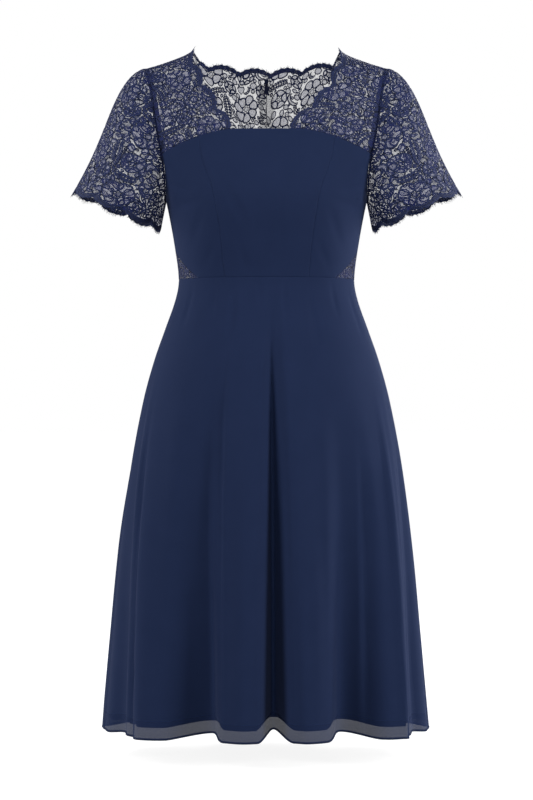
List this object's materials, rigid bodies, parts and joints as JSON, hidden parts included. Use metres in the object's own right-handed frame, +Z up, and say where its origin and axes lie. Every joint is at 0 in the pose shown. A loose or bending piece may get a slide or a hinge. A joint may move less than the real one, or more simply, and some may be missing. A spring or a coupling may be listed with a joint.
{
  "type": "cocktail dress",
  "caption": "Knee-length fit-and-flare dress in chiffon, with lace yoke, sleeves and side insets, held in its worn shape with nobody in it.",
  "frame": {"origin": "middle of the line between the two shoulder seams, where the wearer's shoulders carry the dress", "axes": "+Z up, the front of the dress faces -Y, the wearer's left is +X"},
  "size_m": [0.648, 0.364, 1.1271],
  "materials": {
    "navy_chiffon": "matt",
    "navy_lace": "matt",
    "navy_lining": "satin",
    "zip_enamel": "satin"
  },
  "bodies": {
    "dress": {"bodice_front": "navy_chiffon", "bodice_side_left": "navy_chiffon", "bodice_side_right": "navy_chiffon", "bodice_back_left": "navy_chiffon", "bodice_back_right": "navy_chiffon", "skirt_front": "navy_chiffon", "skirt_back_left": "navy_chiffon", "skirt_back_right": "navy_chiffon", "lining_front": "navy_lining", "lining_back": "navy_lining", "yoke_front_left": "navy_lace", "yoke_front_right": "navy_lace", "yoke_back_left": "navy_lace", "yoke_back_right": "navy_lace", "sleeve_left": "navy_lace", "sleeve_right": "navy_lace", "waist_inset_left": "navy_lace", "waist_inset_right": "navy_lace", "zip_tape": "zip_enamel", "zip_slider": "zip_enamel"},
    "zip_tab": {"zip_pull": "zip_enamel"}
  },
  "joints": [
    {"name": "zip_tab_swing", "type": "hinge", "parent": "dress", "child": "zip_tab", "pos_m": [0, 0.08092, -0.03925], "axis": [1, 0, 0], "range_deg": [0, 140]}
  ]
}
